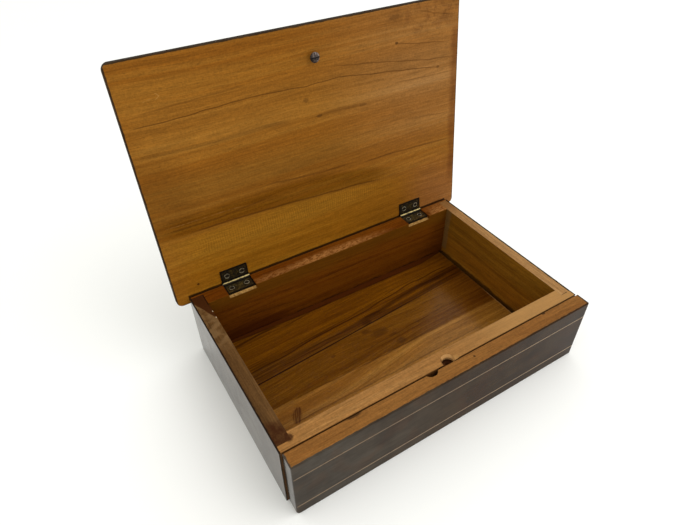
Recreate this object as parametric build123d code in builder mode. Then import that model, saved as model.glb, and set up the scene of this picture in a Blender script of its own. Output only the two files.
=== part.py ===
from build123d import *
import os
from math import acos, atan2, cos, degrees, hypot, radians, sin, tan

# A small wooden box with a butt-hinged lid and a secret lock. The front is a separate board that
# slides sideways on a dovetail key. A round-headed screw stands out of the lid's underside. It drops
# through two half-round hollows when they are in line, and the board hooks over it when pushed back.
#
# Frame: millimetres, +Z up, +X to the right along the front, +Y to the back.
# The origin is the middle of the carcass's underside. The lid is modelled open, on its stop.

os.makedirs("parts", exist_ok=True)

# ---------------------------------------------------------------- driving dimensions

# Carcass, outside
carcass_length = 146.4
carcass_depth = 89.6            # without the sliding front
carcass_height = 33.5
outer_arris = 0.35              # rounding of the carcass's outer top edges
back_corner_radius = 1.2

# Walls, each planed to its own thickness, and the rebated corner joints
front_wall_thickness = 6.4
back_wall_thickness = 8.2
left_wall_thickness = 6.1
right_wall_thickness = 5.7
front_lip = 2.8                 # wood of the front wall that covers a side wall's end
back_lip = 1.4                  # the same at the back wall

# Floor of two boards, let into a rebate along the foot of the front, back and left walls
floor_thickness = 5.2
floor_rebate = 2.5
floor_end_gap = 2.0             # the boards stop this short of the right wall
seam_left_y = 5.5               # where the skewed joint of the boards meets the left inner face
seam_right_y = 15.5             # and the right one

# Sliding front
panel_thickness = 6.4
panel_gap = 0.6                 # between the panel and the front wall
panel_foot_gap = 0.1            # between the panel and what the box stands on
panel_top_gap = 0.2             # the panel's top lies this much below the carcass's
panel_arris = 0.5
worn_corner_radius = 3.0        # lower right corner
lower_left_corner_radius = 2.0
unlock_travel = 10.0            # from flush with the carcass to the two hollows in line
panel_rest_shift = 0.8          # how far the panel stands out at the right as modelled

# Stringing let into the panel's face
stringing_width = 0.6
stringing_depth = 0.5
upper_stringing_drop = 8.2      # from the panel's top edge to the line's middle
lower_stringing_rise = 5.7      # from the panel's bottom edge to the line's middle

# Dovetail slide between the front wall and the panel
slide_height = 15.0             # of the key's middle above the base
groove_mouth = 7.0
groove_depth = 2.2
dovetail_angle = 25.0
slide_clearance = 0.15
key_end_inset = 27.5            # from the panel's ends to the key's
key_housing_depth = 1.2
stop_pin_radius = 1.0
stop_pin_reach = 1.5            # beyond the groove's floor, into the key's slot

# Lock
catch_x = 1.4
catch_inset = 0.8               # from the front wall's outer face back to the catch screw's axis
catch_head_radius = 2.1
catch_head_height = 0.9
catch_head_rim = 0.25           # upright edge of the head below its dome
catch_shank_radius = 0.95
catch_thread_length = 2.8
catch_slot_width = 0.55
catch_slot_depth = 0.4
hook_lip = 1.2                  # thickness of the panel's lip over the catch screw's head
hook_clearance = 0.2            # between the lip and the head
head_side_clearance = 0.4
notch_radius = 3.1              # of the panel's own hollow, through the lip
hollow_dish_radius = 3.3
hollow_dish_angle = 70.0
wear_hollow_radius = 2.4
wear_hollow_depth = 0.75
wear_hollow_offset = 3.4        # to the right of the catch screw

# Lid
lid_thickness = 3.4
lid_side_overhang = 5.4
lid_front_overhang = 4.9
lid_rear_overhang = 3.4         # behind the hinge axis
lid_corner_radius = 2.8
lid_top_arris = 0.9
lid_under_chamfer = 0.3
lid_seat_gap = 0.1              # between the shut lid and the carcass
lid_stop_gap = 0.1              # between the open lid's rear edge and the back wall

# Butt hinges
left_hinge_inset = 22.6         # from the carcass's left end to the middle of the left hinge
right_hinge_inset = 24.3        # and from its right end to the middle of the right one
hinge_width = 13.0
leaf_reach = 7.0                # from the axis to the leaf's far edge
leaf_thickness = 0.8
leaf_gap = 0.1                  # between the two leaves when shut
leaf_corner_radius = 0.4
axis_drop = 0.45                # of the hinge axis below the carcass's top
knuckle_radius = 1.15
knuckle_gap = 0.1
hinge_pin_radius = 0.5
hinge_pin_clearance = 0.03
hinge_pin_proud = 0.15
relief_clearance = 0.2          # round the knuckles, in the wood
mortise_side_clearance = 0.25
mortise_fall = 0.6              # slope of the mortise floor in front of the leaf

# Hinge screws, countersunk
hinge_screw_pitch = 7.3
hinge_screw_reach = 3.8         # from the axis
hinge_screw_head_radius = 1.35
hinge_screw_shank_radius = 0.65
hinge_screw_slot_width = 0.35
hinge_screw_slot_depth = 0.3
body_screw_length = 6.0
lid_screw_length = 2.9

# ---------------------------------------------------------------- places that follow

left_x = -carcass_length / 2
right_x = carcass_length / 2
front_y = -carcass_depth / 2
back_y = carcass_depth / 2
inner_left_x = left_x + left_wall_thickness
inner_right_x = right_x - right_wall_thickness
inner_front_y = front_y + front_wall_thickness
inner_back_y = back_y - back_wall_thickness

floor_left_x = inner_left_x - floor_rebate
floor_right_x = inner_right_x - floor_end_gap
floor_front_y = inner_front_y - floor_rebate
floor_back_y = inner_back_y + floor_rebate

panel_back_y = front_y - panel_gap
panel_front_y = panel_back_y - panel_thickness
panel_top = carcass_height - panel_top_gap
panel_height = panel_top - panel_foot_gap

key_length = carcass_length - 2 * key_end_inset
groove_start_x = -key_length / 2 - unlock_travel / 2
groove_half = groove_mouth / 2
groove_flare = groove_depth * tan(radians(dovetail_angle))

catch_y = front_y + catch_inset
notch_x = catch_x - unlock_travel + panel_rest_shift
hollow_radius = catch_head_radius + head_side_clearance
hook_slot_height = catch_head_height + hook_clearance + head_side_clearance
hook_slot_top = panel_top - hook_lip
hook_slot_bottom = hook_slot_top - hook_slot_height
catch_neck = lid_seat_gap + panel_top_gap + hook_lip + hook_clearance
catch_top = catch_neck + catch_head_height
wear_hollow_centre_z = carcass_height + wear_hollow_radius - wear_hollow_depth

axis_y = back_y
axis_z = carcass_height - axis_drop
lid_face = axis_drop + lid_seat_gap         # from the axis to the plane of the lid's underside
lid_front_reach = axis_y - panel_front_y + lid_front_overhang
catch_reach = axis_y - catch_y
leaf_back = leaf_gap / 2 + leaf_thickness
mortise_floor = axis_z - leaf_back
mortise_width = hinge_width + 2 * mortise_side_clearance

# The lid opens past upright until its rear edge comes against the back wall.
stop_radius = hypot(lid_face, lid_rear_overhang)
lid_lean = degrees(acos(lid_stop_gap / stop_radius) - atan2(lid_rear_overhang, lid_face))
lid_normal = (0, -cos(radians(lid_lean)), sin(radians(lid_lean)))


def lid_frame(x):
    """Plane through the hinge axis at x. Its Y runs up the open lid, its Z out of the lid's underside."""
    return Plane(origin=(x, axis_y, axis_z), x_dir=(1, 0, 0), z_dir=lid_normal)


def body_frame(x):
    """The same for the fixed leaf: Y runs forwards over the back wall and Z up."""
    return Plane(origin=(x, axis_y, axis_z), x_dir=(-1, 0, 0), z_dir=(0, 0, 1))


def along_axis(frame, start):
    """Plane square to the hinge axis, start millimetres along the frame's X."""
    return Plane(origin=frame.from_local_coords((start, 0, 0)), x_dir=frame.y_dir, z_dir=frame.x_dir)


def save(part, name):
    """Label a finished part and write it."""
    part.label = name
    export_step(part, f"parts/{name}.step")


hinge_centres = {"left": left_x + left_hinge_inset, "right": right_x - right_hinge_inset}
screw_points = [(side * hinge_screw_pitch / 2, hinge_screw_reach) for side in (-1, 1)]
high = (Align.CENTER, Align.CENTER, Align.MAX)


# ---------------------------------------------------------------- shared cuts

def floor_outline(first_y_left, first_y_right, last_y_left, last_y_right):
    """Plan of the floor between two lines that cross it from left to right."""
    with BuildSketch() as outline:
        with BuildLine():
            Polyline(
                (floor_left_x, first_y_left),
                (floor_right_x, first_y_right),
                (floor_right_x, last_y_right),
                (floor_left_x, last_y_left),
                close=True,
            )
        make_face()
    return outline.sketch


def cut_floor_rebate():
    """Cut the bed of the floor boards out of a wall."""
    with BuildSketch() as bed:
        with Locations(((floor_left_x + inner_right_x) / 2, (floor_front_y + floor_back_y) / 2)):
            Rectangle(inner_right_x - floor_left_x, floor_back_y - floor_front_y)
    extrude(bed.sketch, amount=floor_thickness, mode=Mode.SUBTRACT)


# ---------------------------------------------------------------- carcass

def wall_plan(outer_y, inner_y, lip):
    """Plan of a long wall, rebated at both ends for the side walls."""
    lip_y = outer_y + lip if inner_y > outer_y else outer_y - lip
    with BuildSketch() as plan:
        with BuildLine():
            Polyline(
                (left_x, outer_y),
                (right_x, outer_y),
                (right_x, lip_y),
                (inner_right_x, lip_y),
                (inner_right_x, inner_y),
                (inner_left_x, inner_y),
                (inner_left_x, lip_y),
                (left_x, lip_y),
                close=True,
            )
        make_face()
    return plan.sketch


with BuildPart() as front_wall:
    extrude(wall_plan(front_y, inner_front_y, front_lip), amount=carcass_height)
    ends = front_wall.edges().filter_by(Axis.Y).group_by(Axis.Z)[-1]
    fillet([ends.sort_by(Axis.X)[0], ends.sort_by(Axis.X)[-1]], radius=outer_arris)
    cut_floor_rebate()
    # Round hollow that the catch screw's head drops into, with a dished mouth and a worn edge beside it
    with Locations((catch_x, catch_y, carcass_height)):
        CounterSinkHole(
            radius=hollow_radius,
            counter_sink_radius=hollow_dish_radius,
            depth=carcass_height - hook_slot_bottom,
            counter_sink_angle=hollow_dish_angle,
        )
    with Locations((catch_x + wear_hollow_offset, front_y, wear_hollow_centre_z)):
        Sphere(wear_hollow_radius, mode=Mode.SUBTRACT)
    # Dovetail groove, stopped at the left and open at the right, where the key goes in
    with BuildSketch(Plane.YZ.offset(groove_start_x)):
        with BuildLine():
            Polyline(
                (front_y, slide_height - groove_half),
                (front_y + groove_depth, slide_height - groove_half - groove_flare),
                (front_y + groove_depth, slide_height + groove_half + groove_flare),
                (front_y, slide_height + groove_half),
                close=True,
            )
        make_face()
    extrude(amount=right_x - groove_start_x, mode=Mode.SUBTRACT)
    with BuildSketch(Plane.XZ.offset(-inner_front_y)):
        with Locations((0, slide_height)):
            Circle(stop_pin_radius)
    extrude(amount=front_wall_thickness, mode=Mode.SUBTRACT)
save(front_wall.part, "front_wall")

with BuildPart() as back_wall:
    extrude(wall_plan(back_y, inner_back_y, back_lip), amount=carcass_height)
    fillet(back_wall.edges().filter_by(Axis.Z).group_by(Axis.Y)[-1], radius=back_corner_radius)
    rear_top = back_wall.faces().sort_by(Axis.Z)[-1].edges()
    fillet(rear_top.filter_by(Axis.X).sort_by(Axis.Y)[-1], radius=outer_arris)
    cut_floor_rebate()
    for centre in hinge_centres.values():
        # Mortise right across the wall, its floor falling away in front of the leaf
        with BuildSketch(Plane.YZ.offset(centre - mortise_width / 2)):
            with BuildLine():
                Polyline(
                    (back_y, carcass_height),
                    (back_y, mortise_floor),
                    (axis_y - leaf_reach, mortise_floor),
                    (inner_back_y, mortise_floor - mortise_fall),
                    (inner_back_y, carcass_height),
                    close=True,
                )
            make_face()
        extrude(amount=mortise_width, mode=Mode.SUBTRACT)
        with BuildSketch(Plane.YZ.offset(centre - mortise_width / 2)):
            with Locations((axis_y, axis_z)):
                Circle(knuckle_radius + relief_clearance)
        extrude(amount=mortise_width, mode=Mode.SUBTRACT)
        with Locations(body_frame(centre).offset(-leaf_gap / 2)):
            with Locations(*screw_points):
                Cylinder(hinge_screw_shank_radius, body_screw_length, align=high, mode=Mode.SUBTRACT)
save(back_wall.part, "back_wall")


def side_wall(name, outer_x, inner_x, rebated):
    """A side wall between the lips of the front and back walls."""
    with BuildPart() as wall:
        with BuildSketch():
            with Locations(((outer_x + inner_x) / 2, (front_y + front_lip + back_y - back_lip) / 2)):
                Rectangle(abs(outer_x - inner_x), carcass_depth - front_lip - back_lip)
        extrude(amount=carcass_height)
        top_edges = wall.faces().sort_by(Axis.Z)[-1].edges().filter_by(Axis.Y)
        outer_edge = top_edges.sort_by(Axis.X)[0 if outer_x < inner_x else -1]
        fillet(outer_edge, radius=outer_arris)
        if rebated:
            cut_floor_rebate()
    save(wall.part, name)


side_wall("left_wall", left_x, inner_left_x, rebated=True)
side_wall("right_wall", right_x, inner_right_x, rebated=False)


def floor_board(name, first_y_left, first_y_right, last_y_left, last_y_right):
    """One floor board, glued into its bed."""
    with BuildPart() as board:
        outline = floor_outline(first_y_left, first_y_right, last_y_left, last_y_right)
        extrude(outline, amount=floor_thickness)
    save(board.part, name)


seam_slope = (seam_right_y - seam_left_y) / (inner_right_x - inner_left_x)
seam_start_y = seam_left_y - seam_slope * floor_rebate
seam_end_y = seam_right_y - seam_slope * floor_end_gap
floor_board("floor_board_front", floor_front_y, floor_front_y, seam_start_y, seam_end_y)
floor_board("floor_board_rear", seam_start_y, seam_end_y, floor_back_y, floor_back_y)

with BuildPart() as slide_stop_pin:
    with BuildSketch(Plane.XZ.offset(-inner_front_y)):
        with Locations((0, slide_height)):
            Circle(stop_pin_radius)
    extrude(amount=front_wall_thickness - groove_depth + stop_pin_reach)
save(slide_stop_pin.part, "slide_stop_pin")

# ---------------------------------------------------------------- sliding front

panel_left_x = left_x + panel_rest_shift
panel_right_x = right_x + panel_rest_shift
stringing_heights = {
    "upper_stringing": panel_top - upper_stringing_drop,
    "lower_stringing": panel_foot_gap + lower_stringing_rise,
}
stringing_length = carcass_length - 2 * panel_arris
key_half = groove_mouth / 2 - slide_clearance / cos(radians(dovetail_angle))
key_tip_depth = groove_depth - slide_clearance
key_flare = key_tip_depth * tan(radians(dovetail_angle))
key_foot_y = panel_back_y - key_housing_depth


def stringing_bar(height):
    """Outline of one line of stringing on the panel's face."""
    with BuildSketch(Plane.XZ.offset(-panel_front_y)) as bar:
        with Locations((panel_rest_shift, height)):
            Rectangle(stringing_length, stringing_width)
    return bar.sketch


with BuildPart() as front_panel:
    with BuildSketch(Plane.XZ.offset(-panel_back_y)):
        with Locations((panel_rest_shift, panel_foot_gap + panel_height / 2)):
            face = Rectangle(carcass_length, panel_height)
        foot = face.vertices().group_by(Axis.Z)[0].sort_by(Axis.X)
        fillet(foot[0], radius=lower_left_corner_radius)
        fillet(foot[-1], radius=worn_corner_radius)
    extrude(amount=panel_thickness)
    fillet(front_panel.faces().sort_by(Axis.Y)[0].edges(), radius=panel_arris)
    for height in stringing_heights.values():
        extrude(stringing_bar(height), amount=-stringing_depth, mode=Mode.SUBTRACT)
    # Housing that the key is glued into
    with BuildSketch(Plane.XZ.offset(-panel_back_y)):
        with Locations((panel_rest_shift, slide_height)):
            Rectangle(key_length, 2 * key_half)
    extrude(amount=key_housing_depth, mode=Mode.SUBTRACT)
    # Half-round notch that lets the catch screw's head in, and the slot that then holds it
    with BuildSketch(Plane.XY.offset(panel_top)):
        with Locations((notch_x, catch_y)):
            Circle(notch_radius)
    extrude(amount=hook_slot_bottom - panel_top, mode=Mode.SUBTRACT)
    with BuildSketch(Plane.XY.offset(hook_slot_top)):
        with Locations((notch_x + unlock_travel / 2, catch_y)):
            SlotCenterToCenter(unlock_travel, 2 * hollow_radius)
    extrude(amount=-hook_slot_height, mode=Mode.SUBTRACT)
save(front_panel.part, "front_panel")

for line_name, height in stringing_heights.items():
    with BuildPart() as line:
        extrude(stringing_bar(height), amount=-stringing_depth)
    save(line.part, line_name)

with BuildPart() as slide_key:
    with BuildSketch(Plane.YZ.offset(panel_rest_shift - key_length / 2)):
        with BuildLine():
            Polyline(
                (key_foot_y, slide_height - key_half),
                (front_y, slide_height - key_half),
                (front_y + key_tip_depth, slide_height - key_half - key_flare),
                (front_y + key_tip_depth, slide_height + key_half + key_flare),
                (front_y, slide_height + key_half),
                (key_foot_y, slide_height + key_half),
                close=True,
            )
        make_face()
    extrude(amount=key_length)
    # Slot for the stop pin, as long as the panel's travel
    with BuildSketch(Plane.XZ.offset(-front_y - key_tip_depth)):
        with Locations((panel_rest_shift - unlock_travel / 2, slide_height)):
            SlotCenterToCenter(unlock_travel, 2 * (stop_pin_radius + slide_clearance))
    extrude(amount=stop_pin_reach, mode=Mode.SUBTRACT)
save(slide_key.part, "slide_key")

# ---------------------------------------------------------------- lid

lid_plane = lid_frame(0)
with BuildPart() as lid_board:
    with BuildSketch(lid_plane.offset(-lid_face)):
        with Locations((0, (lid_front_reach - lid_rear_overhang) / 2)):
            RectangleRounded(
                carcass_length + 2 * lid_side_overhang,
                lid_front_reach + lid_rear_overhang,
                lid_corner_radius,
            )
    extrude(amount=-lid_thickness)
    by_height = lid_board.faces().sort_by(Axis(lid_plane.origin, lid_plane.z_dir))
    fillet(by_height[0].edges(), radius=lid_top_arris)
    under = lid_board.faces().sort_by(Axis(lid_plane.origin, lid_plane.z_dir))[-1]
    chamfer(under.edges(), length=lid_under_chamfer)
    for centre in hinge_centres.values():
        frame = lid_frame(centre)
        with BuildSketch(along_axis(frame, -mortise_width / 2)):
            Circle(knuckle_radius + relief_clearance)
        extrude(amount=mortise_width, mode=Mode.SUBTRACT)
        with BuildSketch(frame.offset(-lid_face)):
            with Locations((0, leaf_reach / 2)):
                Rectangle(hinge_width, leaf_reach)
        extrude(amount=lid_face - leaf_back, mode=Mode.SUBTRACT)
        with Locations(frame.offset(-leaf_gap / 2)):
            with Locations(*screw_points):
                Cylinder(hinge_screw_shank_radius, lid_screw_length, align=high, mode=Mode.SUBTRACT)
    with Locations(lid_plane.offset(-lid_face)):
        with Locations((catch_x, catch_reach)):
            Cylinder(catch_shank_radius, catch_thread_length, align=high, mode=Mode.SUBTRACT)
save(lid_board.part, "lid_board")

catch_base = lid_plane.from_local_coords((catch_x, catch_reach, -lid_face))
catch_side = Plane(origin=catch_base, x_dir=(1, 0, 0), z_dir=-lid_plane.y_dir)
with BuildPart() as catch_screw:
    with BuildSketch(catch_side):
        with BuildLine():
            Polyline(
                (0, catch_top),
                (0, -catch_thread_length),
                (catch_shank_radius, catch_shank_radius - catch_thread_length),
                (catch_shank_radius, catch_neck),
                (catch_head_radius, catch_neck),
                (catch_head_radius, catch_neck + catch_head_rim),
            )
            TangentArc((0, catch_top), (catch_head_radius, catch_neck + catch_head_rim), tangent=(1, 0))
        make_face()
    revolve(axis=Axis(catch_base, lid_plane.z_dir))
    with Locations(Plane(origin=catch_base, x_dir=(1, 0, 0), z_dir=lid_plane.z_dir).offset(catch_top)):
        Box(
            2 * catch_head_radius,
            catch_slot_width,
            catch_slot_depth,
            align=high,
            mode=Mode.SUBTRACT,
        )
save(catch_screw.part, "catch_screw")

# ---------------------------------------------------------------- hinges

knuckle_width = (hinge_width - 2 * knuckle_gap) / 3
outer_knuckles = [-hinge_width / 2, hinge_width / 2 - knuckle_width]
middle_knuckle = [-knuckle_width / 2]


def hinge_leaf(name, frame, knuckles, bore_radius):
    """One leaf. knuckles lists where its own knuckles start along the axis."""
    with BuildPart() as leaf:
        with BuildSketch(frame.offset(-leaf_gap / 2)):
            with Locations((0, leaf_reach / 2)):
                plate = Rectangle(hinge_width, leaf_reach)
            far_corners = plate.vertices().sort_by_distance(frame.origin)[-2:]
            fillet(far_corners, radius=leaf_corner_radius)
        extrude(amount=-leaf_thickness)
        # Clear the plate round the barrel, then add its own knuckles
        with BuildSketch(along_axis(frame, -hinge_width / 2)):
            Circle(knuckle_radius + knuckle_gap)
        extrude(amount=hinge_width, mode=Mode.SUBTRACT)
        for start in knuckles:
            with BuildSketch(along_axis(frame, start)):
                Circle(knuckle_radius)
                with Locations(((knuckle_radius + knuckle_gap), -leaf_gap / 2 - leaf_thickness / 2)):
                    Rectangle(2 * (knuckle_radius + knuckle_gap), leaf_thickness)
            extrude(amount=knuckle_width)
        with BuildSketch(along_axis(frame, -hinge_width / 2)):
            Circle(bore_radius)
        extrude(amount=hinge_width, mode=Mode.SUBTRACT)
        with Locations(frame.offset(-leaf_gap / 2)):
            with Locations(*screw_points):
                CounterSinkHole(
                    radius=hinge_screw_shank_radius,
                    counter_sink_radius=hinge_screw_head_radius,
                    depth=leaf_thickness,
                )
    save(leaf.part, name)


def hinge_screws(name, frame, length):
    """The countersunk screws of one leaf, their heads flush with it."""
    head_height = hinge_screw_head_radius - hinge_screw_shank_radius
    with BuildPart() as screws:
        with Locations(frame.offset(-leaf_gap / 2)):
            with Locations(*screw_points):
                Cylinder(hinge_screw_shank_radius, length, align=high)
                Cone(hinge_screw_shank_radius, hinge_screw_head_radius, head_height, align=high)
                Box(
                    2 * hinge_screw_head_radius,
                    hinge_screw_slot_width,
                    hinge_screw_slot_depth,
                    align=high,
                    mode=Mode.SUBTRACT,
                )
    save(screws.part, name)


for side, centre in hinge_centres.items():
    hinge_leaf(f"{side}_hinge_body_leaf", body_frame(centre), outer_knuckles, hinge_pin_radius)
    hinge_leaf(
        f"{side}_hinge_lid_leaf",
        lid_frame(centre),
        middle_knuckle,
        hinge_pin_radius + hinge_pin_clearance,
    )
    hinge_screws(f"{side}_hinge_body_screws", body_frame(centre), body_screw_length)
    hinge_screws(f"{side}_hinge_lid_screws", lid_frame(centre), lid_screw_length)
    pin_length = hinge_width + 2 * hinge_pin_proud
    with BuildPart() as hinge_pin:
        with BuildSketch(along_axis(body_frame(centre), -pin_length / 2)):
            Circle(hinge_pin_radius)
        extrude(amount=pin_length)
    save(hinge_pin.part, f"{side}_hinge_pin")
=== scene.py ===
import math

import bpy
from mathutils import Euler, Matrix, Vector

# Looks for the antique glove box: a small wooden box with a hinged lid and a sliding front.
# World frame: metres, +Z up, +X to the right along the front, +Y to the back.
# Shaders work in millimetres, from object coordinates, so the grain stays with its board.
# The lid's material is near the most that the renderer can hold. Past that the lid renders
# black without an error, so look at the picture after adding to it.

MM = 0.001

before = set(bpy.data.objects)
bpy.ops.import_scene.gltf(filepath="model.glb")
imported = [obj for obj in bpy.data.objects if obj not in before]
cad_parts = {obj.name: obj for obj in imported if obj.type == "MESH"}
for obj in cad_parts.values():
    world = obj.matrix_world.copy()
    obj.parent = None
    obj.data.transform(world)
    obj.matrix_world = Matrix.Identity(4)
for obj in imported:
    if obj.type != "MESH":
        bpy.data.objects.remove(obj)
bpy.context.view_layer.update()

# ---------------------------------------------------------------- sizes of the part, in millimetres

LEFT, RIGHT = -73.2, 73.2           # carcass ends
FRONT, BACK = -44.8, 44.8           # carcass front, behind the sliding front, and back
TOP = 33.5                          # carcass top
INNER_LEFT, INNER_RIGHT = -67.1, 67.5
INNER_FRONT, INNER_BACK = -38.4, 36.6
FLOOR_TOP = 5.2
FLOOR_END = 65.5                    # right end of the floor boards
SEAM = ((-67.1, 5.5), (67.5, 15.5))  # joint of the floor boards
PANEL_LEFT, PANEL_RIGHT = -72.4, 74.0  # sliding front, at rest
PANEL_FACE = -51.8
AXIS_Y, AXIS_Z = 44.8, 33.05        # hinge axis
LID_LEAN = math.radians(7.52)       # past upright, as modelled
LID_INNER = -0.55                   # plane of the lid's underside, along its normal from the axis
LID_HALF = 78.6                     # half the lid's length
LID_FRONT_EDGE, LID_REAR_EDGE = 101.5, -3.4
CATCH_X, CATCH_Y = 1.4, -44.0
CATCH_REACH = AXIS_Y - CATCH_Y      # of the catch screw, from the axis
LINE_WAVE = (11, 9)                 # wander of drawn lines: size of a bend along and across
COAT_ROUGHNESS = 0.11
GRAIN_RELIEF = 0.05                 # depth of the grain in the bump


# ---------------------------------------------------------------- shader building

class Shader:
    """One material and its nodes. Most methods return an output socket."""

    def __init__(self, name):
        self.material = bpy.data.materials.new(name)
        self.material.use_nodes = True
        self.tree = self.material.node_tree
        self.tree.nodes.clear()
        self.surface = self.tree.nodes.new("ShaderNodeBsdfPrincipled")
        output = self.tree.nodes.new("ShaderNodeOutputMaterial")
        self.tree.links.new(self.surface.outputs["BSDF"], output.inputs["Surface"])
        texture = self.node("ShaderNodeTexCoord")
        scaled = self.node("ShaderNodeVectorMath", operation="SCALE")
        self.set(scaled.inputs[0], texture.outputs["Object"])
        scaled.inputs["Scale"].default_value = 1 / MM
        self.place = scaled.outputs[0]
        parts = self.node("ShaderNodeSeparateXYZ")
        self.set(parts.inputs[0], self.place)
        self.x, self.y, self.z = parts.outputs
        normal = self.node("ShaderNodeSeparateXYZ")
        self.set(normal.inputs[0], texture.outputs["Normal"])
        self.nx, self.ny, self.nz = normal.outputs

    def node(self, kind, **settings):
        made = self.tree.nodes.new(kind)
        for key, value in settings.items():
            setattr(made, key, value)
        return made

    def set(self, socket, value):
        if isinstance(value, bpy.types.NodeSocket):
            self.tree.links.new(value, socket)
        elif isinstance(value, tuple) and len(value) == 3 and socket.type == "RGBA":
            socket.default_value = (*value, 1)
        else:
            socket.default_value = value

    def math(self, operation, *values):
        made = self.node("ShaderNodeMath", operation=operation)
        for socket, value in zip(made.inputs, values):
            self.set(socket, value)
        return made.outputs[0]

    def add(self, *values):
        total = values[0]
        for value in values[1:]:
            total = self.math("ADD", total, value)
        return total

    def sub(self, a, b):
        return self.math("SUBTRACT", a, b)

    def mul(self, *values):
        total = values[0]
        for value in values[1:]:
            total = self.math("MULTIPLY", total, value)
        return total

    def most(self, *values):
        result = values[0]
        for value in values[1:]:
            result = self.math("MAXIMUM", result, value)
        return result

    def least(self, *values):
        result = values[0]
        for value in values[1:]:
            result = self.math("MINIMUM", result, value)
        return result

    def step(self, value, start, end, low=0.0, high=1.0, smooth=True):
        """low below start, high above end, and a change between them."""
        curve = "SMOOTHSTEP" if smooth else "LINEAR"
        made = self.node("ShaderNodeMapRange", interpolation_type=curve)
        names = ("Value", "From Min", "From Max", "To Min", "To Max")
        for key, given in zip(names, (value, start, end, low, high)):
            self.set(made.inputs[key], given)
        return made.outputs[0]

    def fall(self, value, start, end):
        """1 below start, 0 above end, and a change between them."""
        return self.step(value, start, end, 1.0, 0.0)

    def magnitude(self, value):
        return self.math("ABSOLUTE", value)

    def length(self, a, b):
        return self.math("SQRT", self.add(self.mul(a, a), self.mul(b, b)))

    def vector(self, x, y, z):
        made = self.node("ShaderNodeCombineXYZ")
        for socket, value in zip(made.inputs, (x, y, z)):
            self.set(socket, value)
        return made.outputs[0]

    def noise(self, vector, detail=2.0, roughness=0.5, scale=1.0):
        made = self.node("ShaderNodeTexNoise", noise_dimensions="3D")
        self.set(made.inputs["Vector"], vector)
        for key, value in (("Scale", scale), ("Detail", detail), ("Roughness", roughness)):
            made.inputs[key].default_value = value
        return made.outputs["Fac"]

    def swing(self, noise, reach):
        """Noise made into an offset of up to about reach either way."""
        return self.mul(self.sub(noise, 0.5), 4 * reach)

    def sway(self, size, reach):
        """Uneven offset of up to about reach millimetres, in patches of the given size."""
        return self.swing(self.noise(self.place, detail=3, scale=1 / size), reach)

    def streak(self, along, across, depth, length, width, seed, **settings):
        """Noise drawn out along the grain, in marks of the given length and width."""
        place = self.vector(
            self.add(self.mul(along, 1 / length), seed * 7.31),
            self.add(self.mul(across, 1 / width), seed * 3.17),
            self.add(self.mul(depth, 1 / width), seed * 5.23),
        )
        return self.noise(place, **settings)

    def mix(self, factor, a, b, blend="MIX"):
        made = self.node("ShaderNodeMix", data_type="RGBA", blend_type=blend)
        self.set(made.inputs["Factor"], factor)
        colours = [s for s in made.inputs if s.type == "RGBA"]
        self.set(colours[0], a)
        self.set(colours[1], b)
        return [s for s in made.outputs if s.type == "RGBA"][0]

    def tint(self, factor, colour, tone):
        """colour multiplied by tone where factor is 1."""
        return self.mix(factor, colour, tone, blend="MULTIPLY")

    def shade(self, colour, amount):
        """colour times amount, the same in every channel."""
        return self.tint(1.0, colour, self.vector(amount, amount, amount))

    def ramp(self, factor, tones):
        """Colours spread evenly over a factor of 0 to 1."""
        made = self.node("ShaderNodeValToRGB")
        elements = made.color_ramp.elements
        while len(elements) < len(tones):
            elements.new(0.5)
        for index, (element, colour) in enumerate(zip(elements, tones)):
            element.position = index / (len(tones) - 1)
            element.color = (*colour, 1)
        self.set(made.inputs[0], factor)
        return made.outputs["Color"]

    def bump(self, height, distance):
        """Bump from a height of 0 to 1 that stands for distance millimetres."""
        made = self.node("ShaderNodeBump")
        made.inputs["Strength"].default_value = 1.0
        made.inputs["Distance"].default_value = distance * MM
        self.set(made.inputs["Height"], height)
        self.set(self.surface.inputs["Normal"], made.outputs[0])

    def path(self, along, points):
        """Height of a broken line through the points, which run along then across."""
        total = points[0][1]
        for (start, low), (end, high) in zip(points, points[1:]):
            if high != low:
                total = self.add(total, self.step(along, start, end, 0.0, high - low, smooth=False))
        return total

    def ends(self, along, first, last, fade):
        """1 between first and last, fading to 0 at both."""
        rising = self.step(along, first, first + fade)
        return self.mul(rising, self.fall(along, last - fade, last))

    def line(self, along, across, points, width, wander=0.7, fade=8.0):
        """A thin wandering line through the points, fading out at both ends.

        All lines of a material share one noise: the renderer merges equal nodes, and it can only
        hold so many values of one material at a time.
        """
        waved = (self.mul(axis, 1 / size) for axis, size in zip((along, across), LINE_WAVE))
        wave = self.noise(self.vector(*waved, 0.0), detail=2)
        centre = self.add(self.path(along, points), self.swing(wave, wander))
        off = self.magnitude(self.sub(across, centre))
        core = self.fall(off, width * 0.3, width)
        return self.mul(core, self.ends(along, points[0][0], points[-1][0], fade))

    def band(self, along, across, low, high, soft, fade=14.0):
        """1 between two broken lines, soft millimetres wide at their edges."""
        first, last = low[0][0], low[-1][0]
        above = self.step(self.sub(across, self.path(along, low)), -soft, soft)
        below = self.fall(self.sub(across, self.path(along, high)), -soft, soft)
        return self.mul(above, below, self.ends(along, first, last, fade))

    def spot(self, a, b, centre, radii, wobble=0.25, seed=1.0, soft=0.35):
        """1 inside an uneven ellipse in the plane of a and b, 0 outside."""
        da = self.mul(self.sub(a, centre[0]), 1 / radii[0])
        db = self.mul(self.sub(b, centre[1]), 1 / radii[1])
        distance = self.length(da, db)
        place = self.vector(self.add(a, seed * 9.1), b, seed)
        uneven = self.noise(place, detail=3, scale=1 / min(radii))
        edge = self.add(distance, self.swing(uneven, wobble / 2))
        return self.fall(edge, 1 - soft, 1 + soft)

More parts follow.
